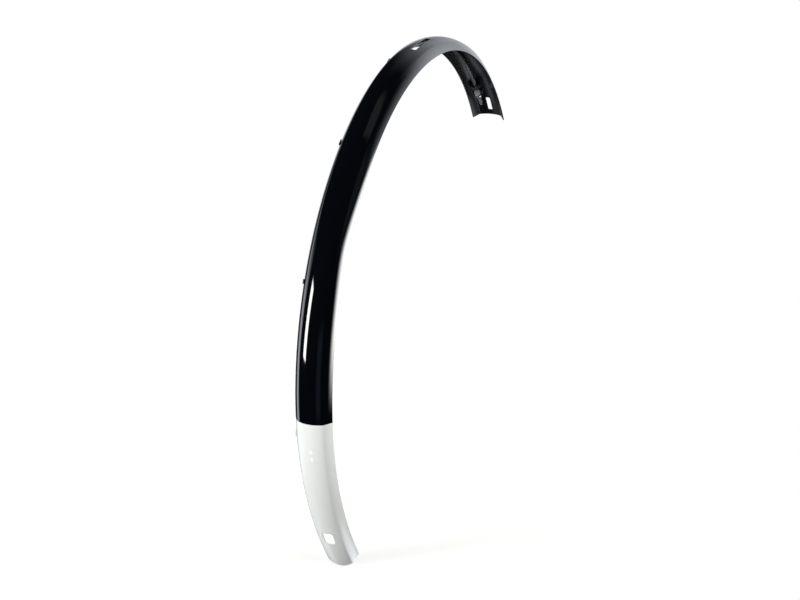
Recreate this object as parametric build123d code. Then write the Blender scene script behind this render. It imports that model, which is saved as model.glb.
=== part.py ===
"""Rear bicycle mudguard: a curved channel blade with a lighting lead clipped along its inside.

Millimetres. +X runs forward, +Y to the bicycle's left and +Z up. The origin lies on the outer crown,
in the middle of the slot for the seat-stay bridge. A station is a length along the crown from there,
positive forward.
"""
import os
from math import acos, asin, cos, degrees, radians, sin

from build123d import *
from build123d.topology import SkipClean

# Course of the crown from the side: three arcs that run smoothly into each other
main_radius = 372.0
front_radius = 337.0
tail_radius = 459.0
front_bend_station = 41.0
tail_bend_station = -706.0
front_end_station = 359.0
tail_end_station = -842.5

# Section of the blade: a crown arc that meets straight sloping sides at rounded shoulders
wall = 2.0
crown_radius = 34.0
crown_half_width = 16.75
shoulder_radius = 5.0
side_slope = 54.0
side_length = 14.4
lip_bevel = 0.5

# Outline of the two ends, seen square to the crown
front_end_radius = 65.0
tail_tongue_length = 24.5
tail_tongue_margin = 1.9
trim_allowance = 6.0

# Openings in the crown
bridge_slot_length = 60.0
bridge_slot_width = 7.0
front_slot_station = 336.8
front_slot_length = 26.5
front_slot_width = 6.5
slot_corner_radius = 2.0
lamp_station = -632.5
lamp_hole_pitch = 11.4
lamp_hole_diameter = 4.5
tail_window_station = -776.2
tail_window_length = 21.0
tail_window_width = 14.0
tail_window_corner_radius = 2.5

# Lead and its clips
lead_diameter = 5.0
lead_rear_station = -618.0
lead_gap = 0.15
clip_stations = (-613.0, -417.5, -228.0, -48.0, 130.0)
clip_width = 5.5
clip_wall = 1.2
clip_gap = 0.15
clip_head_height = 2.2
clip_head_length = 4.5
clip_head_bevel = 0.7
clip_lip_height = 1.2
clip_hook_bevel = 1.3

# Plug at the front end of the lead
plug_station = 288.0
plug_gap = 0.3
collar_length = 7.0
collar_width = 12.0
collar_height = 8.0
collar_rim = 1.1
collar_bevel = 2.8
collar_floor = 1.5
body_length = 14.0
body_width = 8.0
body_height = 7.0
ring_length = 5.0
ring_overhang = 0.5
nose_length = 22.0
nose_width = 6.0
nose_height = 3.2
nose_tip_width = 3.0
nose_tip_height = 1.8
plug_bevel = 1.4
contact_length = 7.0
contact_width = 2.0
contact_height = 1.6
contact_pitch = 3.4

# Cores and receptacles at the rear end of the lead
core_diameter = 1.5
core_pitch = 2.6
core_length = 8.0
receptacle_length = 12.0
receptacle_width = 2.2
receptacle_height = 4.4
receptacle_bevel = 0.5
tab_width = 3.0
tab_thickness = 0.9
tab_depth = 7.0

# Values that follow from the sizes above
lateral = Vector(0, 1, 0)
outer_crease_slope = degrees(asin(crown_half_width / crown_radius))
lead_radius = lead_diameter / 2
lead_course = crown_radius - wall - lead_gap - lead_radius
hook_half_width = lead_radius + clip_gap
strip_inset = wall + clip_gap
cut_reach = 3 * (wall + clip_head_height)


def normal(turn):
    """Outward direction of the crown where it has turned by an angle from the bridge slot."""
    return Vector(sin(radians(turn)), 0, cos(radians(turn)))


front_turn = degrees(front_bend_station / main_radius)
tail_turn = degrees(tail_bend_station / main_radius)
main_centre = Vector(0, 0, -main_radius)
front_centre = main_centre + normal(front_turn) * (main_radius - front_radius)
tail_centre = main_centre + normal(tail_turn) * (main_radius - tail_radius)


def course(station):
    """Centre, radius and turn of the crown's arc at a station."""
    if station > front_bend_station:
        turn = front_turn + degrees((station - front_bend_station) / front_radius)
        return front_centre, front_radius, turn
    if station < tail_bend_station:
        turn = tail_turn + degrees((station - tail_bend_station) / tail_radius)
        return tail_centre, tail_radius, turn
    return main_centre, main_radius, degrees(station / main_radius)


def section_plane(station):
    """Plane across the blade: x to the left, y outward, z forward along the crown."""
    centre, radius, turn = course(station)
    outward = normal(turn)
    return Plane(centre + outward * radius, x_dir=lateral, z_dir=lateral.cross(outward))


def skin_plane(station):
    """Plane that touches the crown: x forward, y to the left, z outward."""
    across = section_plane(station)
    return Plane(across.origin, x_dir=across.z_dir, z_dir=across.y_dir)


def carried(section, start, end):
    """Solid of a section carried along the crown, one revolution for each arc that it meets."""
    bends = [bend for bend in (tail_bend_station, front_bend_station) if start < bend < end]
    stops = [start, *bends, end]
    solids = []
    for first, last in zip(stops, stops[1:]):
        centre, radius, _ = course((first + last) / 2)
        placed = section_plane(first) * section
        solids.append(revolve(placed, Axis(centre, lateral), degrees((last - first) / radius)))
    return solids[0].fuse(*solids[1:]) if bends else solids[0]


def polar(centre, radius, slope):
    """Point at a radius from a centre, at a slope from the outward direction, towards the left."""
    return centre + Vector(sin(radians(slope)), cos(radians(slope))) * radius


crown_centre = Vector(0, -crown_radius)
down_side = Vector(cos(radians(side_slope)), -sin(radians(side_slope)))
off_side = Vector(sin(radians(side_slope)), cos(radians(side_slope)))
outer_crease = polar(crown_centre, crown_radius, outer_crease_slope)


def crease_slope(inset):
    """Slope at which the crown arc and the side, both set in from the outer face, meet."""
    side_distance = crown_radius * cos(radians(side_slope - outer_crease_slope)) - inset
    return side_slope - degrees(acos(side_distance / (crown_radius - inset)))


def side_end(inset, overrun=0.0):
    """Lower end of the side at an inset from the outer face."""
    return outer_crease + down_side * (side_length + overrun) - off_side * inset


def half_band(outer, inner, first_slope=0.0, overrun=0.0):
    """Left half of the strip between two insets, from a slope on the crown to past the side's end."""
    arcs = []
    for inset in (outer, inner):
        last_slope = crease_slope(inset)
        slopes = (first_slope, (first_slope + last_slope) / 2, last_slope)
        arcs.append([polar(crown_centre, crown_radius - inset, slope) for slope in slopes])
    ends = (side_end(outer, overrun), side_end(inner, overrun))
    outline = [
        ThreePointArc(*arcs[0]),
        Polyline(arcs[0][-1], *ends, arcs[1][-1]),
        ThreePointArc(*arcs[1][::-1]),
        Line(arcs[1][0], arcs[0][0]),
    ]
    return make_face(outline)


lead_slope = crease_slope(strip_inset + clip_wall) - degrees((hook_half_width + clip_wall) / lead_course)
lip_centre = side_end(wall / 2)
at_lip = Pos(lip_centre.X, lip_centre.Y) * Rot(Z=-side_slope)
blade_half_width = side_end(0.0).X


def beside_lead(height):
    """Place under the inside of the crown, on the lead's line, for a thing of some height."""
    centre = polar(crown_centre, crown_radius - wall - height, lead_slope)
    return Pos(centre.X, centre.Y) * Rot(Z=-lead_slope)


def block(x_low, x_high, y_low, y_high):
    """Rectangle between four limits."""
    return Pos((x_low + x_high) / 2, (y_low + y_high) / 2) * Rectangle(x_high - x_low, y_high - y_low)


def cut_through(station, outline):
    """Tool that cuts an outline square through the crown."""
    return extrude(skin_plane(station) * outline, cut_reach, both=True)


def trim_end(station, keep):
    """Tool that cuts away what lies past the outline of an end."""
    depth = -side_end(wall, wall).Y
    waste = Rectangle(2 * tail_tongue_length, 3 * blade_half_width) - keep
    return extrude(skin_plane(station) * waste, 2 * depth, both=True)


def make_blade():
    """Channel blade: one half carried along the crown, cut for its ends and openings, then mirrored."""
    bevelled = [(lip_bevel, wall / 2 - lip_bevel), (0, wall / 2), (-lip_bevel, wall / 2)]
    lip = Polygon(*bevelled, *[(x, -y) for x, y in bevelled[::-1]], align=None)
    section = half_band(0.0, wall) + at_lip * lip
    section = fillet(section.vertices().sort_by_distance(outer_crease)[0], shoulder_radius)
    half = carried(section, tail_end_station - trim_allowance, front_end_station + trim_allowance)

    front_keep = Pos(-front_end_radius, 0) * Circle(front_end_radius)
    tail_keep = Pos(tail_tongue_length, 0) * Ellipse(tail_tongue_length, blade_half_width + tail_tongue_margin)
    bridge_slot = RectangleRounded(bridge_slot_length, bridge_slot_width, slot_corner_radius)
    front_slot = RectangleRounded(front_slot_length, front_slot_width, slot_corner_radius)
    tail_window = RectangleRounded(tail_window_length, tail_window_width, tail_window_corner_radius)
    lamp_hole = Circle(lamp_hole_diameter / 2)
    half = half.cut(
        trim_end(front_end_station, front_keep),
        trim_end(tail_end_station, tail_keep),
        cut_through(0.0, bridge_slot),
        cut_through(front_slot_station, front_slot),
        cut_through(tail_window_station, tail_window),
        cut_through(lamp_station - lamp_hole_pitch / 2, lamp_hole),
        cut_through(lamp_station + lamp_hole_pitch / 2, lamp_hole),
    )
    with SkipClean():
        return half.fuse(mirror(half, Plane.XZ))


def make_lead():
    """Round lead that lies against the inside of the crown, from its rear end into the plug's collar."""
    section = beside_lead(lead_gap + lead_radius) * Circle(lead_radius)
    return carried(section, lead_rear_station, plug_station + collar_length - collar_floor)


def make_clip(station):
    """Clip hooked over the left lip: head outside, strip up the inside, hook round the lead."""
    beside = wall / 2 + clip_gap
    below = lip_bevel + clip_gap
    head = block(-clip_head_length, below + clip_wall, beside, beside + clip_head_height)
    head = chamfer(head.vertices().sort_by(Axis.Y)[-2:], clip_head_bevel)
    turn = block(below, below + clip_wall, -beside - clip_wall, beside + clip_wall)

    middle = hook_half_width + clip_wall / 2
    strip_slope = lead_slope + degrees(middle / lead_course)
    strip = half_band(strip_inset, strip_inset + clip_wall, strip_slope, below + clip_wall)

    outside = hook_half_width + clip_wall
    cradle = block(-outside, outside, -outside, clip_lip_height)
    cradle = chamfer(cradle.vertices().sort_by(Axis.Y)[:2], clip_hook_bevel)
    cradle -= block(-hook_half_width, hook_half_width, -hook_half_width, clip_lip_height)
    flank_top = lead_radius + lead_gap - clip_gap - clip_wall / 2
    flank = block(hook_half_width, outside, 0, flank_top)
    hook = beside_lead(lead_gap + lead_radius) * (cradle + flank)

    section = at_lip * (head + turn) + strip + hook
    return extrude(section_plane(station) * section, clip_width / 2, both=True)


def plug_section(width, height, bevel):
    """Bevelled section of the plug, on the lead's line and clear of the crown."""
    return beside_lead(plug_gap + height / 2) * chamfer(Rectangle(width, height).vertices(), bevel)


def make_collar():
    """Cup at the back of the plug: a thin U-shaped rim, open to the crown, round the end of the lead."""
    cup = plug_section(collar_width, collar_height, collar_bevel)
    floor_station = plug_station + collar_length - collar_floor
    bed = beside_lead(lead_gap + lead_radius) * block(-hook_half_width, hook_half_width, 0, lead_diameter)
    rim = cup - offset(cup, -collar_rim) - bed
    floor = carried(cup, floor_station, plug_station + collar_length)
    return carried(rim, plug_station, floor_station).fuse(floor)


def make_nose(start):
    """Tongue at the front of the plug, tapered in width and in height from the ring to its tip."""
    drop = nose_length**2 / (2 * front_radius)
    root = beside_lead(plug_gap + nose_height / 2) * Rectangle(nose_width, nose_height)
    tip = beside_lead(plug_gap + drop + nose_tip_height / 2) * Rectangle(nose_tip_width, nose_tip_height)
    place = section_plane(start)
    return loft([place * root, place * Pos(Z=nose_length) * tip], ruled=True)


parts = {"blade": make_blade(), "lead": make_lead()}
for number, station in enumerate(clip_stations, 1):
    parts[f"lead_clip_{number}"] = make_clip(station)

body_station = plug_station + collar_length
ring_station = body_station + body_length
nose_station = ring_station + ring_length
parts["plug_collar"] = make_collar()
parts["plug_body"] = carried(plug_section(body_width, body_height, plug_bevel), body_station, ring_station)
ring_section = plug_section(body_width + 2 * ring_overhang, body_height + ring_overhang, plug_bevel)
parts["plug_ring"] = carried(ring_section, ring_station, nose_station)

parts["plug_nose"] = make_nose(nose_station)

for number, side in enumerate((-1, 1), 1):
    contact_place = beside_lead(plug_gap + nose_height + contact_height / 2) * Pos(side * contact_pitch / 2, 0)
    contact = contact_place * Rectangle(contact_width, contact_height)
    parts[f"plug_contact_{number}"] = carried(contact, nose_station, nose_station + contact_length)

    core_place = beside_lead(lead_gap + lead_radius) * Pos(side * core_pitch / 2, 0)
    core_end = lead_rear_station - core_length
    parts[f"tail_core_{number}"] = carried(core_place * Circle(core_diameter / 2), core_end, lead_rear_station)
    sleeve = core_place * chamfer(Rectangle(receptacle_width, receptacle_height).vertices(), receptacle_bevel)
    socket = core_place * Rectangle(tab_thickness, tab_width)
    sleeve_end = core_end - receptacle_length
    receptacle = carried(sleeve, sleeve_end, core_end) - carried(socket, sleeve_end, sleeve_end + tab_depth)
    parts[f"tail_receptacle_{number}"] = receptacle

os.makedirs("parts", exist_ok=True)
for name, shape in parts.items():
    export_step(shape, f"parts/{name}.step")
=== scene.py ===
"""Looks of the rear bicycle mudguard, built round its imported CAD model. Metres, in the CAD model's frame."""
from math import cos, pi, radians, sin

import bpy
import numpy as np
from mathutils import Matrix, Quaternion, Vector


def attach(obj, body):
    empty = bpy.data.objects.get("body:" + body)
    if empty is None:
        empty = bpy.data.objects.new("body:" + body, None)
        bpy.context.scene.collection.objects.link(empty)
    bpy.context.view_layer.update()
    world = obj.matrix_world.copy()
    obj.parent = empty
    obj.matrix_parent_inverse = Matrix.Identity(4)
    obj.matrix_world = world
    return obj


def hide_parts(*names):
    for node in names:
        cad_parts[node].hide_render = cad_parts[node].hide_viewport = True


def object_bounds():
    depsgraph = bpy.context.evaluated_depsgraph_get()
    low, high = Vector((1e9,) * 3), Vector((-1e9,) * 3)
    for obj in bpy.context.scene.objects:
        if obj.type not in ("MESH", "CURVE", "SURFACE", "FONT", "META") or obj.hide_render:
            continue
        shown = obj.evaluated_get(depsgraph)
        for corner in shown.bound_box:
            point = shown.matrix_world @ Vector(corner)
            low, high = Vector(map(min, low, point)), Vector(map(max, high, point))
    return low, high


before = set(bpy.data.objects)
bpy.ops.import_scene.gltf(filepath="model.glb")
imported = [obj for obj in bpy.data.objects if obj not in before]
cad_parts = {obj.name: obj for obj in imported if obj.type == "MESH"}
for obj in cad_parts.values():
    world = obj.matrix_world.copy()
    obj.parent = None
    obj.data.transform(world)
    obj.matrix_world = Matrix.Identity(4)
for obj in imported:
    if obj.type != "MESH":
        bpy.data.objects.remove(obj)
cad_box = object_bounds()

# Camera: stands behind the mudguard, to its right and above it, and looks down along the crown.
# The photograph is 800 pixels wide and the lens sees 26 degrees across it.
camera_place = Vector((-2.0649, -0.7897, 0.5154))
camera_view = Vector((0.86465, 0.34332, -0.36676))
camera_roll = radians(-0.515)
camera_lens = 78.455
camera_film = 36.0

camera = bpy.data.objects.new("camera", bpy.data.cameras.new("camera"))
camera.data.lens = camera_lens
camera.data.sensor_width = camera_film
camera.location = camera_place
camera.rotation_mode = "QUATERNION"
camera.rotation_quaternion = camera_view.to_track_quat("-Z", "Y") @ Quaternion((0, 0, 1), camera_roll)
bpy.context.scene.collection.objects.link(camera)
bpy.context.scene.camera = camera

# Blade: one channel moulded in black polycarbonate, with its tail lacquered white inside and out.
# Three arcs that run into each other give its course, and a crown between two slightly bowed sides
# gives its section. Every cut edge is broken by a small radius. The top stands very slightly twisted.
main_radius = 0.372
front_radius = 0.337
tail_radius = 0.459
front_bend = 0.041
tail_bend = -0.706
front_end = 0.359
tail_end = -0.8425
wall = 0.002
outer_inset = 0.0002
edge_radius = 0.0005
crown_radius = 0.034
crown_edge_slope = radians(27.5)
shoulder_radius = 0.005
side_top_slope = radians(48.0)
side_lip_slope = radians(63.0)
side_length = 0.0130
front_end_radius = 0.065
tail_tongue_length = 0.0245
tail_tongue_half_width = 0.0271
top_twist = radians(2.5)
twist_stations = (-0.30, -0.04, 0.06, 0.26)
section_samples = 800
past_lip = 0.01
left = np.array([0.0, 1.0, 0.0])


def outward_at(turn):
    """Outward direction of the crown where it has turned by an angle: (sin turn, 0, cos turn)."""
    return np.stack([np.sin(turn), 0 * turn, np.cos(turn)], axis=-1)


def crown_line(station):
    """Point and outward direction of the crown at a length along it from the bridge slot.

    The turn grows by length over radius. Each end arc has its centre on the line from the main centre
    through the bend, so the point is that centre plus the radius times the outward direction.
    """
    arc = np.searchsorted([tail_bend, front_bend], station)
    radius = np.array([tail_radius, main_radius, front_radius])[arc]
    start = np.array([tail_bend, 0.0, front_bend])[arc]
    start_turn = start / main_radius
    outward = outward_at(start_turn + (station - start) / radius)
    centre = outward_at(start_turn) * (main_radius - radius)[..., None] - [0.0, 0.0, main_radius]
    return centre + outward * radius[..., None], outward


side_start = crown_radius * crown_edge_slope + shoulder_radius * (side_top_slope - crown_edge_slope)
lip = side_start + side_length
section_widths = np.linspace(0.0, lip + past_lip, section_samples)
section_slopes = np.interp(
    section_widths,
    [0.0, crown_radius * crown_edge_slope, side_start, lip],
    [0.0, crown_edge_slope, side_top_slope, side_lip_slope],
)
step = section_widths[1]
middle_slopes = (section_slopes[1:] + section_slopes[:-1]) / 2
section_reach = np.concatenate([[0.0], np.cumsum(np.cos(middle_slopes) * step)])
section_drop = np.concatenate([[0.0], np.cumsum(np.sin(middle_slopes) * step)])


def skin(station, width, depth):
    """Point of the blade, with the skin's outward normal and its direction to the left.

    Width is measured over the skin from the crown's middle. The section's slope grows piecewise with
    it, and the running sums of its cosine and sine give the reach to the side and the drop. The section
    turns about the crown by the twist, which rises and falls in smooth steps. The point is then set in
    along the normal by the depth.
    """
    station, width, depth = np.broadcast_arrays(*np.atleast_1d(station, width, depth))
    point, outward = crown_line(station)
    side, size = np.sign(width)[..., None], np.abs(width)
    slope = np.interp(size, section_widths, section_slopes)[..., None]
    reach = np.interp(size, section_widths, section_reach)[..., None]
    drop = np.interp(size, section_widths, section_drop)[..., None]
    ease = np.interp(station, twist_stations, (0, 1, 1, 0))[..., None]
    twist = top_twist * ease**2 * (3 - 2 * ease)
    upward = np.cos(twist) * outward - np.sin(twist) * left
    leftward = np.cos(twist) * left + np.sin(twist) * outward
    normal = np.cos(slope) * upward + side * np.sin(slope) * leftward
    across = np.cos(slope) * leftward - side * np.sin(slope) * upward
    return point - drop * upward + side * reach * leftward - depth[..., None] * normal, normal, across


def strip_faces(first, second):
    """Four-sided faces between two closed loops of vertex numbers, or between two lists of loops."""
    around = [first, np.roll(first, -1, axis=-1), np.roll(second, -1, axis=-1), second]
    return np.stack(around, axis=-1).reshape(-1, 4)


def grid_edge(numbers):
    """Loop of vertex numbers round a grid, turning from its first direction to its second."""
    return np.concatenate([numbers[:-1, 0], numbers[-1, :-1], numbers[:0:-1, -1], numbers[0, :0:-1]])


def make_mesh(name, points, faces, normals=None):
    """Object at the origin made of points and faces, smooth, with given normals where there are any."""
    mesh = bpy.data.meshes.new(name)
    mesh.from_pydata(points.tolist(), [], faces)
    mesh.shade_smooth()
    if normals is not None:
        mesh.normals_split_custom_set_from_vertices(normals.tolist())
    piece = bpy.data.objects.new(name, mesh)
    bpy.context.scene.collection.objects.link(piece)
    return piece


# Openings: middle station, half length, half width, corner radius, radius of the outer edge, and how far
# the rear end is cut to the right of the crown's middle, which the photograph shows at the bridge slot.
openings = {
    "bridge_slot": (0.0, 0.030, 0.0035, 0.002, 0.0011, 0.0027),
    "front_slot": (0.3368, 0.01325, 0.00325, 0.002, edge_radius, 0.0),
    "upper_lamp_hole": (-0.6268, 0.00225, 0.00225, 0.00225, edge_radius, 0.0),
    "lower_lamp_hole": (-0.6382, 0.00225, 0.00225, 0.00225, edge_radius, 0.0),
    "tail_window": (-0.7762, 0.0105, 0.007, 0.0025, edge_radius, 0.0),
}
opening_margin = 0.003
row_step = 0.004
fine_row_step = 0.0009
fine_row_reach = 0.004
row_samples = 12000
column_step = 0.0009
ring_shares = (0.4, 0.75, 1.0)
front_blend = 0.025
tail_blend = 0.045
edge_turns = np.radians([30, 60, 90])

# Rows stand close together beside the openings and far apart elsewhere: they divide the running sum of a
# row density evenly.
along = np.linspace(tail_end + edge_radius, front_end - edge_radius, row_samples)
density = np.full(along.size, 1 / row_step)
for middle, half_length, *_ in openings.values():
    density[np.abs(along - middle) < half_length + fine_row_reach] = 1 / fine_row_step
running = np.concatenate([[0.0], np.cumsum((density[1:] + density[:-1]) / 2 * np.diff(along))])
rows = np.interp(np.linspace(0.0, running[-1], int(running[-1]) + 1), running, along)
half_columns = int(lip / column_step)
columns = np.linspace(-1, 1, 2 * half_columns + 1) * (lip - edge_radius)
stations, widths = np.meshgrid(rows, columns, indexing="ij")

# The ends follow an arc at the front and half an ellipse at the tail: a row moves by the outline's
# set-back at its reach to the side, less and less with distance from the end.
reach = np.interp(np.abs(widths), section_widths, section_reach)
front_set_back = front_end_radius - np.sqrt(front_end_radius**2 - reach**2)
tail_set_back = tail_tongue_length * (1 - np.sqrt(1 - (reach / tail_tongue_half_width) ** 2))
front_share = np.clip((stations - front_end + front_blend) / front_blend, 0, 1) ** 2
tail_share = np.clip((tail_end + tail_blend - stations) / tail_blend, 0, 1) ** 2
stations = stations - front_share * front_set_back + tail_share * tail_set_back

# The outer sheet is that grid. Cells round an opening give way to rings that close in on its outline: its
# point for a point of the cut-out's edge lies a corner radius and an edge radius off the inner box.
numbers = np.arange(stations.size).reshape(stations.shape)
cells = np.stack([numbers[:-1, :-1], numbers[1:, :-1], numbers[1:, 1:], numbers[:-1, 1:]], axis=-1)
kept_cells = np.ones(cells.shape[:2], bool)
sheet = np.stack([stations.ravel(), widths.ravel()], axis=-1)
edge_loops = [(grid_edge(numbers)[::-1], edge_radius)]
sheet_faces = []
for middle, half_length, half_width, corner, rim_radius, slant in openings.values():
    row_span = np.searchsorted(
        rows, [middle - half_length - opening_margin, middle + half_length + opening_margin])
    column_span = np.searchsorted(columns, [-half_width - opening_margin, half_width + opening_margin])
    block = numbers[row_span[0] - 1:row_span[1] + 1, column_span[0] - 1:column_span[1] + 1]
    kept_cells[row_span[0] - 1:row_span[1], column_span[0] - 1:column_span[1]] = False
    loop = grid_edge(block)
    rim = sheet[loop] - [middle, 0.0]
    inner_box = np.array([half_length, half_width]) - corner
    nearest = np.clip(rim, -inner_box, inner_box)
    away = (rim - nearest) / np.linalg.norm(rim - nearest, axis=-1, keepdims=True)
    outline = nearest + away * (corner + rim_radius)
    outline[:, 1] -= slant * (0.5 - outline[:, 0] / half_length / 2)
    for share in ring_shares:
        ring = np.arange(len(sheet), len(sheet) + len(loop))
        sheet = np.concatenate([sheet, rim + (outline - rim) * share + [middle, 0.0]])
        sheet_faces.append(strip_faces(loop, ring))
        loop = ring
    edge_loops.append((loop, rim_radius))
sheet_faces = np.concatenate([cells[kept_cells], *sheet_faces])

# The outer sheet lies a hair inside the CAD model's skin. The inner sheet is the same, set in to the depth
# of the wall and turned over. Round each loop of edges the wall is closed by a rim that leaves the outer
# sheet in a quarter circle and joins the inner one in a quarter of an ellipse as wide.
points, normals, across = skin(sheet[:, 0], sheet[:, 1], outer_inset)
inner_points = points - (wall - outer_inset) * normals
blade_points, blade_normals = [points, inner_points], [normals, -normals]
blade_faces = [sheet_faces, sheet_faces[:, ::-1] + len(sheet)]
count = 2 * len(sheet)
forward = np.cross(across, normals)
for loop, rim_radius in edge_loops:
    run = np.roll(sheet[loop], -1, axis=0) - np.roll(sheet[loop], 1, axis=0)
    run /= np.linalg.norm(run, axis=-1, keepdims=True)
    into_gap = forward[loop] * -run[:, 1:] + across[loop] * run[:, :1]
    last = loop
    for lower_half in (False, True):
        for turn in edge_turns[::-1] if lower_half else edge_turns:
            depth = rim_radius * (1 - cos(turn))
            facing = cos(turn)
            if lower_half:
                depth, facing = wall - outer_inset - edge_radius * (1 - cos(turn)), -facing
            ring = np.arange(count, count + len(loop))
            count += len(loop)
            blade_points.append(points[loop] - depth * normals[loop] + rim_radius * sin(turn) * into_gap)
            blade_normals.append(facing * normals[loop] + sin(turn) * into_gap)
            blade_faces.append(strip_faces(last, ring))
            last = ring
    blade_faces.append(strip_faces(last, loop + len(sheet)))
blade_faces = np.concatenate(blade_faces)
used, blade_faces = np.unique(blade_faces, return_inverse=True)
blade_faces = blade_faces.reshape(-1, 4)
blade_points = np.concatenate(blade_points)[used]
blade_normals = np.concatenate(blade_normals)[used]
blade = make_mesh("blade_skin", blade_points, blade_faces.tolist(), blade_normals)
inside_points = (used >= len(sheet)) & (used < 2 * len(sheet))
inside_values = blade.data.attributes.new("inside", "FLOAT", "POINT").data
inside_values.foreach_set("value", inside_points.astype(np.float32))


def linear(colour):
    """Linear red, green, blue and alpha of an sRGB hex colour."""
    srgb = np.array([int(colour[i:i + 2], 16) for i in (1, 3, 5)]) / 255
    return (*np.where(srgb < 0.04045, srgb / 12.92, ((srgb + 0.055) / 1.055) ** 2.4), 1.0)


def add_node(tree, kind, sockets, **settings):
    """Adds one node with its settings. A socket is given a value, or the output that feeds it."""
    made = tree.nodes.new(kind)
    for name, value in settings.items():
        setattr(made, name, value)
    for socket, value in sockets.items():
        if isinstance(value, bpy.types.NodeSocket):
            tree.links.new(value, made.inputs[socket])
        else:
            made.inputs[socket].default_value = value
    return made


def new_material(name):
    """Empty node material, with its tree."""
    material = bpy.data.materials.new(name)
    material.use_nodes = True
    material.node_tree.nodes.clear()
    return material, material.node_tree


# Polycarbonate from a mould that is polished outside and plain inside: black, a mirror with a slow
# waviness on the outside, and satin with a weaker reflection on the inside. The white lacquer lies over it
# with a faint orange peel, glossy outside and matt inside, up to a masked line square to the crown.
mould_black = "#030509"
inside_black = "#0A0B0D"
lacquer_white = "#F1F4F1"
lacquer_station = -0.590
lacquer_line_turn = lacquer_station / main_radius
lacquer_line = Vector((cos(lacquer_line_turn), 0.0, -sin(lacquer_line_turn)))
line_softness = 0.00015
waviness_size = 0.060
waviness_span = (0.3, 0.7)
peel_size = 0.0025
gloss_roughness = (0.035, 0.06)
satin_roughness = 0.27
lacquer_roughness = 0.16
inner_lacquer_roughness = 0.6
gloss_level = 0.5
satin_level = 0.22

gloss, tree = new_material("polycarbonate_black_white_lacquer")
place = add_node(tree, "ShaderNodeTexCoord", {}).outputs["Object"]
from_centre = add_node(tree, "ShaderNodeVectorMath", {0: place, 1: (0.0, 0.0, main_radius)}, operation="ADD")
past_line = add_node(tree, "ShaderNodeVectorMath", {
    0: from_centre.outputs[0], 1: lacquer_line}, operation="DOT_PRODUCT")
lacquered = add_node(tree, "ShaderNodeMapRange", {
    "Value": past_line.outputs["Value"], "From Min": line_softness, "From Max": -line_softness})
waviness = add_node(tree, "ShaderNodeTexNoise", {"Vector": place, "Scale": 1 / waviness_size, "Detail": 1.0})
peel = add_node(tree, "ShaderNodeTexNoise", {"Vector": place, "Scale": 1 / peel_size, "Detail": 0.0})
inside = add_node(tree, "ShaderNodeAttribute", {}, attribute_name="inside").outputs["Fac"]
black = add_node(tree, "ShaderNodeMix", {
    "Factor": inside, 6: linear(mould_black), 7: linear(inside_black)}, data_type="RGBA")
colour = add_node(tree, "ShaderNodeMix", {
    "Factor": lacquered.outputs["Result"], 6: black.outputs[2], 7: linear(lacquer_white)}, data_type="RGBA")
haze = add_node(tree, "ShaderNodeMapRange", {
    "Value": waviness.outputs["Fac"], "From Min": waviness_span[0], "From Max": waviness_span[1],
    "To Min": gloss_roughness[0], "To Max": gloss_roughness[1]})
satin = add_node(tree, "ShaderNodeMix", {"Factor": inside, 2: haze.outputs["Result"], 3: satin_roughness})
matt = add_node(tree, "ShaderNodeMix", {
    "Factor": inside, 2: lacquer_roughness, 3: inner_lacquer_roughness})
roughness = add_node(tree, "ShaderNodeMix", {
    "Factor": lacquered.outputs["Result"], 2: satin.outputs[0], 3: matt.outputs[0]})
mirror = add_node(tree, "ShaderNodeMix", {"Factor": inside, 2: gloss_level, 3: satin_level})
slow = add_node(tree, "ShaderNodeBump", {
    "Height": waviness.outputs["Fac"], "Strength": 0.10, "Distance": 0.001})
fine = add_node(tree, "ShaderNodeBump", {
    "Height": peel.outputs["Fac"], "Strength": 0.05, "Distance": 0.0001, "Normal": slow.outputs["Normal"]})
shader = add_node(tree, "ShaderNodeBsdfPrincipled", {
    "Base Color": colour.outputs[2], "Roughness": roughness.outputs[0], "IOR": 1.53,
    "Specular IOR Level": mirror.outputs[0], "Normal": fine.outputs["Normal"]})
add_node(tree, "ShaderNodeOutputMaterial", {"Surface": shader.outputs["BSDF"]})
blade.data.materials.append(gloss)
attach(blade, "root")
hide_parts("blade")

# Lead: a round two-core lighting lead with a grey sheath, extruded. It lies against the inside of the
# crown on the left, from the tail into the plug's collar, and the clips hold it there.
lead_radius = 0.0025
lead_gap = 0.00015
lead_slope = radians(20.7)
lead_width = crown_radius * lead_slope
lead_depth = wall + lead_gap + lead_radius
lead_rear = -0.618
lead_front = 0.2935
lead_rings = 260
lead_sides = 28
sharp_edge = radians(50)
sheath_dark = "#5A5B5F"
sheath_light = "#6C6D71"
sheath_ripple = 0.0030
sheath_roughness = (0.26, 0.38)


def ring_solid(name, rings):
    """Closed solid through a row of rings of points, with a flat cap on the first and the last ring."""
    numbers = np.arange(rings.shape[0] * rings.shape[1]).reshape(rings.shape[:2])
    faces = strip_faces(numbers[:-1], numbers[1:]).tolist()
    caps = [numbers[0, ::-1].tolist(), numbers[-1].tolist()]
    piece = make_mesh(name, rings.reshape(-1, 3), faces + caps)
    piece.data.set_sharp_from_angle(angle=sharp_edge)
    return piece


def carried_rings(name, stations, width, depth, sideways, inward):
    """Closed solid of rings carried along the crown, one ring at each station.

    A ring's point lies at a width and a depth on the blade, then sideways to the left along the skin
    and inward from it. The first and last rings are closed by flat caps.
    """
    points, normals, across = skin(stations, width, depth)
    rings = points[:, None] + sideways[..., None] * across[:, None] - inward[..., None] * normals[:, None]
    return ring_solid(name, rings)


lead_stations = np.linspace(lead_rear, lead_front, lead_rings)
lead_angles = np.linspace(0, 2 * pi, lead_sides, endpoint=False)
around = np.ones((lead_stations.size, 1))
lead = carried_rings("lead_sheath", lead_stations, lead_width, lead_depth,
                     around * lead_radius * np.sin(lead_angles), around * lead_radius * np.cos(lead_angles))

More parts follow.
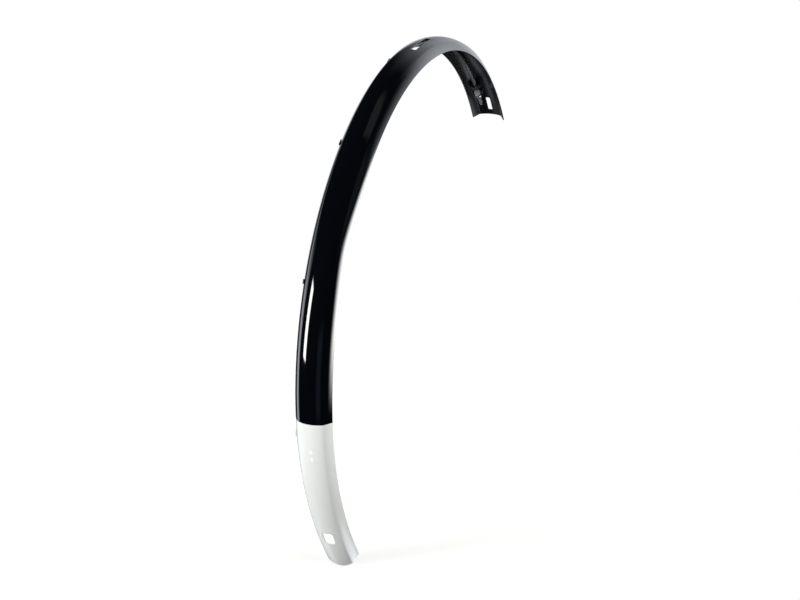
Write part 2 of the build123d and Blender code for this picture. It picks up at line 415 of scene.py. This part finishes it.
# Extruded soft PVC: grey and satin, with a slight ripple along the lead from the cores inside it.
sheath, tree = new_material("pvc_sheath_satin")
place = add_node(tree, "ShaderNodeTexCoord", {}).outputs["Object"]
ripple = add_node(tree, "ShaderNodeTexNoise", {"Vector": place, "Scale": 1 / sheath_ripple, "Detail": 2.0})
colour = add_node(tree, "ShaderNodeMix", {
    "Factor": ripple.outputs["Fac"], 6: linear(sheath_dark), 7: linear(sheath_light)}, data_type="RGBA")
worn = add_node(tree, "ShaderNodeMapRange", {
    "Value": ripple.outputs["Fac"], "To Min": sheath_roughness[0], "To Max": sheath_roughness[1]})
bump = add_node(tree, "ShaderNodeBump", {
    "Height": ripple.outputs["Fac"], "Strength": 0.15, "Distance": 0.0002})
shader = add_node(tree, "ShaderNodeBsdfPrincipled", {
    "Base Color": colour.outputs[2], "Roughness": worn.outputs["Result"], "IOR": 1.52,
    "Normal": bump.outputs["Normal"]})
add_node(tree, "ShaderNodeOutputMaterial", {"Surface": shader.outputs["BSDF"]})
lead.data.materials.append(sheath)
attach(lead, "root")
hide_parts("lead")

# Clips: five straps moulded in polyamide, hooked over the left lip. Each has a thick head outside, runs
# up the inside of the blade and ends in a cup round the lead. The rearmost is white, as the tail is.
clip_stations = (-0.613, -0.4175, -0.228, -0.048, 0.130)
clip_length = 0.0055
clip_thickness = 0.0012
clip_gap = 0.00015
clip_head_length = 0.0045
clip_head_height = 0.0014
clip_corner = 0.0003
join_length = 0.0016
join_start = 0.2
cup_turns = (-100, 80)
cup_points = 26
join_points = 6
run_points = 20
lip_points = 22
head_points = 8
clip_black = "#0B0C0E"
clip_black_light = "#17181B"
clip_white = "#E9ECE9"
clip_white_light = "#F3F5F2"
moulding_grain = 0.0004
moulding_roughness = (0.3, 0.45)

# The strap's middle line, from the cup's tip to the head, as widths and depths on the blade: half a circle
# below the lead, a short bend up to the wall, a run along it, half a circle round the lip and a run
# outside. The strap gets thicker on its way round the lip.
cup_radius = lead_radius + clip_gap + clip_thickness / 2
cup_turn = np.radians(np.linspace(*cup_turns, cup_points))
cup_depth = lead_depth + cup_radius * np.cos(cup_turn)
cup_width = lead_width + cup_radius * np.sin(cup_turn) / (1 - cup_depth / crown_radius)
run_depth = wall + clip_gap + clip_thickness / 2
lip_middle = lip - wall / 2
joining = np.linspace(join_start, 1, join_points) * pi / 2
join_width = cup_width[-1] + join_length * (1 - np.cos(joining))
join_depth = cup_depth[-1] + (run_depth - cup_depth[-1]) * np.sin(joining)
run_width = np.linspace(join_width[-1], lip_middle, run_points)[1:]
lip_turn = np.radians(np.linspace(0, 180, lip_points))[1:]
lip_thickness = np.interp(lip_turn, [pi / 2, pi], [clip_thickness, clip_head_height])
lip_circle = wall / 2 + clip_gap + lip_thickness / 2
head_width = lip_middle - np.linspace(0, clip_head_length, head_points)[1:]
strap_width = np.concatenate([cup_width, join_width, run_width,
                              lip_middle + lip_circle * np.sin(lip_turn), head_width])
strap_depth = np.concatenate([cup_depth, join_depth, np.full(run_width.size, run_depth),
                              wall / 2 + lip_circle * np.cos(lip_turn),
                              np.full(head_width.size, wall / 2 - lip_circle[-1])])
strap_thickness = np.full(strap_width.size, clip_thickness)
head_thickness = np.full(head_width.size, clip_head_height)
strap_thickness[-lip_turn.size - head_width.size:] = np.append(lip_thickness, head_thickness)

# The strap's section is a rectangle with rounded corners: each quarter turn stands on its own corner.
quarter = np.radians([0, 30, 60, 90])
corner_turn = (np.arange(4)[:, None] * pi / 2 + quarter).ravel()
corner_side = np.repeat([[1, 1], [-1, 1], [-1, -1], [1, -1]], quarter.size, axis=0)


def clip_rings(station):
    """Rings of a clip: the strap's section set square to its middle line at each of its points."""
    middle = skin(station, strap_width, strap_depth)[0]
    course = np.gradient(middle, axis=0)
    course /= np.linalg.norm(course, axis=-1, keepdims=True)
    forward = np.cross(left, crown_line(np.array([station]))[1])
    through = np.cross(course, forward)
    size = np.stack([np.full(strap_width.size, clip_length), strap_thickness], axis=-1) / 2
    size[[0, -1]] -= clip_corner
    corner_arc = clip_corner * np.stack([np.cos(corner_turn), np.sin(corner_turn)], axis=-1)
    corner = corner_side * (size[:, None] - clip_corner) + corner_arc
    return middle[:, None] + corner[..., :1] * forward + corner[..., 1:] * through[:, None]


def satin_plastic(name, dark, light):
    """Moulded polyamide or extruded PVC: even colour, a soft sheen and a fine grain."""
    material, tree = new_material(name)
    place = add_node(tree, "ShaderNodeTexCoord", {}).outputs["Object"]
    grain = add_node(tree, "ShaderNodeTexNoise", {
        "Vector": place, "Scale": 1 / moulding_grain, "Detail": 2.0})
    colour = add_node(tree, "ShaderNodeMix", {
        "Factor": grain.outputs["Fac"], 6: linear(dark), 7: linear(light)}, data_type="RGBA")
    sheen = add_node(tree, "ShaderNodeMapRange", {
        "Value": grain.outputs["Fac"], "To Min": moulding_roughness[0], "To Max": moulding_roughness[1]})
    bump = add_node(tree, "ShaderNodeBump", {
        "Height": grain.outputs["Fac"], "Strength": 0.2, "Distance": 0.00005})
    shader = add_node(tree, "ShaderNodeBsdfPrincipled", {
        "Base Color": colour.outputs[2], "Roughness": sheen.outputs["Result"], "IOR": 1.53,
        "Normal": bump.outputs["Normal"]})
    add_node(tree, "ShaderNodeOutputMaterial", {"Surface": shader.outputs["BSDF"]})
    return material


polyamide_black = satin_plastic("polyamide_black", clip_black, clip_black_light)
polyamide_white = satin_plastic("polyamide_white", clip_white, clip_white_light)
for number, station in enumerate(clip_stations, 1):
    clip = ring_solid(f"lead_clip_strap_{number}", clip_rings(station))
    clip.data.materials.append(polyamide_white if number == 1 else polyamide_black)
    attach(clip, "root")
    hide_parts(f"lead_clip_{number}")

# Plug: the two-pole plug on the front end of the lead. A moulded pale body stands between a dark cup-shaped
# collar, where the lead goes in, and a bright turned ring, and a tongue tapers forward from the ring.
plug_gap = 0.0003
plug_bevel = 0.0003
body_rear = 0.2950
ring_rear = 0.3090
nose_rear = 0.3140
body_size = (0.0080, 0.0070)
body_bevel_depth = 0.0002
ring_size = (0.0090, 0.0075)
groove_stations = (0.3000, 0.3040)
groove_reach = 0.0010
groove_floor_reach = 0.0006
groove_depth = 0.0003
plug_dark = "#2E2F31"
plug_dark_light = "#3C3D40"
plug_grey = "#A4A5A6"
plug_grey_light = "#B4B5B6"
nickel_dark = "#DADAD7"
nickel_light = "#F4F4F1"
plating_grain = 0.0003
nickel_roughness = (0.14, 0.24)
plug_sides = 40
section_turn = np.linspace(0, 2 * pi, plug_sides, endpoint=False)
moulded_squareness = 0.4
turned_squareness = 1.0


def plug_solid(name, rows, squareness=moulded_squareness):
    """Solid of the plug through rows of station, width, height and gap to the crown.

    Each row is a rounded rectangle: the sine and cosine of the turn, each raised to the squareness.
    At a squareness of 1 it is an ellipse.
    """
    stations, width, height, gap = np.array(rows).T
    rounded = [np.sign(f(section_turn)) * np.abs(f(section_turn)) ** squareness for f in (np.sin, np.cos)]
    return carried_rings(name, stations, lead_width, wall + gap + height / 2,
                         width[:, None] / 2 * rounded[0], height[:, None] / 2 * rounded[1])


def plug_row(station, size, depth=0.0):
    """Row of the plug set in by a depth: width and height lose it twice, and the gap gains it once."""
    width, height = size
    return station, width - 2 * depth, height - 2 * depth, plug_gap + depth


# The body has a bevel at the rear and two grooves round it, and the ring has a bevel at both ends.
body_rows = [plug_row(body_rear, body_size, body_bevel_depth), plug_row(body_rear + plug_bevel, body_size)]
for groove in groove_stations:
    body_rows.append(plug_row(groove - groove_reach, body_size))
    body_rows.append(plug_row(groove - groove_floor_reach, body_size, groove_depth))
    body_rows.append(plug_row(groove + groove_floor_reach, body_size, groove_depth))
    body_rows.append(plug_row(groove + groove_reach, body_size))
body_rows.append(plug_row(ring_rear, body_size))
body = plug_solid("plug_body_moulding", body_rows)
ring_rows = [
    plug_row(ring_rear, ring_size, plug_bevel), plug_row(ring_rear + plug_bevel, ring_size),
    plug_row(nose_rear - plug_bevel, ring_size), plug_row(nose_rear, ring_size, plug_bevel)]
ring = plug_solid("plug_ring_band", ring_rows, turned_squareness)

# The tongue gets narrower, thinner and further from the crown towards its tip.
nose_rows = [
    (nose_rear, 0.0060, 0.0032, plug_gap), (0.3210, 0.0052, 0.0028, 0.0004),
    (0.3280, 0.0042, 0.0024, 0.0006), (0.3355, 0.0031, 0.0019, 0.0010), (0.3360, 0.0025, 0.0014, 0.00125)]
nose = plug_solid("plug_nose_tongue", nose_rows)

# Moulded polyamide again: dark for the collar, pale for the body and the tongue.
polyamide_dark = satin_plastic("polyamide_dark", plug_dark, plug_dark_light)
polyamide_grey = satin_plastic("polyamide_grey", plug_grey, plug_grey_light)

# Nickel on brass: bright metal with a fine grain from the plating, which spreads its highlights.
nickel, tree = new_material("nickel_plated_brass")
place = add_node(tree, "ShaderNodeTexCoord", {}).outputs["Object"]
grain = add_node(tree, "ShaderNodeTexNoise", {"Vector": place, "Scale": 1 / plating_grain, "Detail": 2.0})
colour = add_node(tree, "ShaderNodeMix", {
    "Factor": grain.outputs["Fac"], 6: linear(nickel_dark), 7: linear(nickel_light)}, data_type="RGBA")
spread = add_node(tree, "ShaderNodeMapRange", {
    "Value": grain.outputs["Fac"], "To Min": nickel_roughness[0], "To Max": nickel_roughness[1]})
shader = add_node(tree, "ShaderNodeBsdfPrincipled", {
    "Base Color": colour.outputs[2], "Metallic": 1.0, "Roughness": spread.outputs["Result"]})
add_node(tree, "ShaderNodeOutputMaterial", {"Surface": shader.outputs["BSDF"]})

for piece, node, material, slot in (
        (body, "plug_body", polyamide_grey, "plug_grey"), (ring, "plug_ring", nickel, "plug_bright"),
        (nose, "plug_nose", polyamide_grey, "plug_grey")):
    piece.data.materials.append(material)
    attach(piece, "root")
    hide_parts(node)
for node, material in (
        ("plug_collar", polyamide_dark), ("plug_contact_1", nickel), ("plug_contact_2", nickel)):
    collar_or_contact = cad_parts[node]
    collar_or_contact.data.materials.clear()
    collar_or_contact.data.materials.append(material)

# Tail ends: the lead's two cores come out of the sheath by the lamp's holes, each with a push-on
# receptacle in a moulded sleeve for the lamp's tabs.
core_black = "#1A1A1B"
core_black_light = "#262628"
sleeve_pale = "#C9C9C4"
sleeve_pale_light = "#D6D6D1"
core_sheath = satin_plastic("pvc_core_black", core_black, core_black_light)
sleeve = satin_plastic("polyamide_sleeve_pale", sleeve_pale, sleeve_pale_light)
for number in (1, 2):
    for node, material in ((f"tail_core_{number}", core_sheath), (f"tail_receptacle_{number}", sleeve)):
        tail_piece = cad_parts[node]
        tail_piece.data.materials.clear()
        tail_piece.data.materials.append(material)

# Floor: a pale board just under the tail. To the camera it adds its own light up to white, so only the
# shadow shows on it. The gloss and the white tail look past it into the studio.
floor_gap = 0.0005
floor_low, floor_high = (-0.60, -0.45), (0.80, 0.45)
floor_pale = "#E9E9E7"
floor_speck = "#E3E3E1"
speck_size = 0.004
floor_lift = 0.34
floor_rows, floor_columns = 36, 24
floor_x, floor_y = np.meshgrid(
    np.linspace(floor_low[0], floor_high[0], floor_rows),
    np.linspace(floor_low[1], floor_high[1], floor_columns), indexing="ij")
floor_points = np.stack([floor_x, floor_y, np.full(floor_x.shape, cad_box[0].z - floor_gap)], axis=-1)
numbers = np.arange(floor_x.size).reshape(floor_x.shape)
floor_faces = np.stack([numbers[:-1, :-1], numbers[1:, :-1], numbers[1:, 1:], numbers[:-1, 1:]], axis=-1)
floor = make_mesh("floor", floor_points.reshape(-1, 3), floor_faces.reshape(-1, 4).tolist())
floor.visible_glossy = False
floor.visible_diffuse = False

# Painted board: pale and matt with a fine speck, which the soft shadow lies on.
board, tree = new_material("painted_board_pale")
place = add_node(tree, "ShaderNodeTexCoord", {}).outputs["Object"]
speck = add_node(tree, "ShaderNodeTexNoise", {"Vector": place, "Scale": 1 / speck_size})
colour = add_node(tree, "ShaderNodeMix", {
    "Factor": speck.outputs["Fac"], 6: linear(floor_pale), 7: linear(floor_speck)}, data_type="RGBA")
matt = add_node(tree, "ShaderNodeBsdfDiffuse", {"Color": colour.outputs[2]})
rays = add_node(tree, "ShaderNodeLightPath", {})
lift = add_node(tree, "ShaderNodeMath", {
    0: rays.outputs["Is Camera Ray"], 1: floor_lift}, operation="MULTIPLY")
glow = add_node(tree, "ShaderNodeEmission", {"Strength": lift.outputs[0]})
both = add_node(tree, "ShaderNodeAddShader", {0: matt.outputs[0], 1: glow.outputs[0]})
add_node(tree, "ShaderNodeOutputMaterial", {"Surface": both.outputs[0]})
floor.data.materials.append(board)

# Studio: softboxes, a panel, a white sweep, faint hazes and lit patches of floor in a dark room, painted
# on the world. The camera sees white all round and the gloss sees the studio. What falls on the part is a
# second brightness of each light.
studio_lights = {
    # Bearings from +X and heights, in degrees as start, full, full and end, then the tint, the brightness
    # that the gloss sees and the brightness that falls on the part.
    "left_softbox": ((126, 129, 138, 140.5), (-5.8, -4.3, 19.5, 21.3), "#FFFFFF", 24.0, 26.0),
    "left_panel": ((50, 92, 105, 110), (-48, -14, -4, 24), "#F2F6FF", 4.0, 0.1),
    "right_softbox": ((-96, -81, -64, -54), (-25, -7, 7, 16.5), "#FFFFFF", 22.0, 0.0),
    "right_upper_haze": ((-120, -98, -76, -66), (14, 22, 28, 44), "#DCE6FF", 0.12, 0.0),
    "rear_haze": ((-178, -168, -160, -153), (-32, -18, 4, 16), "#C8D8FF", 0.18, 0.0),
    "right_low_glow": ((-74, -63, -60, -42), (-41, -36, -31, -22), "#F4F7FF", 2.2, 1.0),
    "right_floor_strip": ((-84, -72, -51, -40), (-68, -61, -52, -46), "#F4F7FF", 3.6, 0.0),
    "sweep_right": ((-72, -56, -35, -5), (-40, -20, 4, 30), "#F4F8FF", 1.8, 0.5),
    "sweep_ahead": ((-40, -20, -4, 34), (-40, -20, 16, 54), "#F2F7FF", 1.2, 0.5),
    "sweep_left": ((14, 28, 36, 50), (-26, -10, -2, 12), "#F2F7FF", 0.8, 0.3),
    "ceiling": ((-95, -72, 8, 28), (62, 72, 90, 91), "#FFFFFF", 0.20, 0.3),
    "floor_glow": ((-181, -180, 180, 181), (-91, -90, -62, -46), "#EEF2FF", 0.10, 0.0),
    "floor_ahead": ((-64, -54, -40, -30), (-74, -66, -57, -50), "#F4F7FF", 3.0, 0.0),
    "floor_left": ((20, 40, 85, 115), (-68, -62, -54, -46), "#EEF2FF", 0.8, 0.0),
    "right_key": ((-128, -118, -102, -92), (0, 15, 45, 60), "#FFFFFF", 0.0, 3.2),
    "right_low_key": ((-70, -55, -45, -30), (-35, -20, -10, 5), "#FFFFFF", 0.0, 15.0),
    "tail_left_sweep": ((14, 26, 50, 75), (-46, -38, -29, -24.5), "#F2F7FF", 0.5, 0.0),
    "rear_key": ((135, 150, 165, 180), (-10, 5, 30, 50), "#FFFFFF", 0.0, 1.8),
    "fill_above": ((-181, -180, 180, 181), (5, 30, 50, 75), "#FFFFFF", 0.0, 0.65),
}
room_seen = 0.010
room_light = 0.12

world = bpy.data.worlds.new("studio")
bpy.context.scene.world = world
world.use_nodes = True
tree = world.node_tree
tree.nodes.clear()
direction = add_node(tree, "ShaderNodeTexCoord", {}).outputs["Generated"]
sides = add_node(tree, "ShaderNodeSeparateXYZ", {"Vector": direction}).outputs
bearing = add_node(tree, "ShaderNodeMath", {0: sides["Y"], 1: sides["X"]}, operation="ARCTAN2").outputs[0]
height = add_node(tree, "ShaderNodeMath", {0: sides["Z"]}, operation="ARCSINE").outputs[0]
seen, fallen = [(room,) * 3 for room in (room_seen, room_light)]
for bearings, heights, tint, bright, soft in studio_lights.values():
    # A light's share of a direction is the product of its four edges, each a smooth step of the angle.
    share = 1.0
    for angle, span in ((bearing, bearings), (height, heights)):
        for start, full in (span[:2], span[:1:-1]):
            edge = add_node(tree, "ShaderNodeMapRange", {
                "Value": angle, "From Min": radians(start), "From Max": radians(full)},
                interpolation_type="SMOOTHSTEP")
            product = add_node(tree, "ShaderNodeMath", {
                0: edge.outputs["Result"], 1: share}, operation="MULTIPLY")
            share = product.outputs[0]
    seen, fallen = [
        add_node(tree, "ShaderNodeVectorMath", {
            0: share, 1: level, 2: before}, operation="MULTIPLY_ADD").outputs[0]
        for level, before in ((Vector(linear(tint)[:3]) * bright, seen), ((soft,) * 3, fallen))]
rays = add_node(tree, "ShaderNodeLightPath", {}).outputs
studio = add_node(tree, "ShaderNodeMix", {
    "Factor": rays["Is Glossy Ray"], 6: fallen, 7: seen}, data_type="RGBA")
colour = add_node(tree, "ShaderNodeMix", {
    "Factor": rays["Is Camera Ray"], 6: studio.outputs[2], 7: (1.0, 1.0, 1.0, 1.0)}, data_type="RGBA")
sky = add_node(tree, "ShaderNodeBackground", {"Color": colour.outputs[2]})
add_node(tree, "ShaderNodeOutputWorld", {"Surface": sky.outputs[0]})

bpy.context.scene.view_settings.view_transform = "Standard"
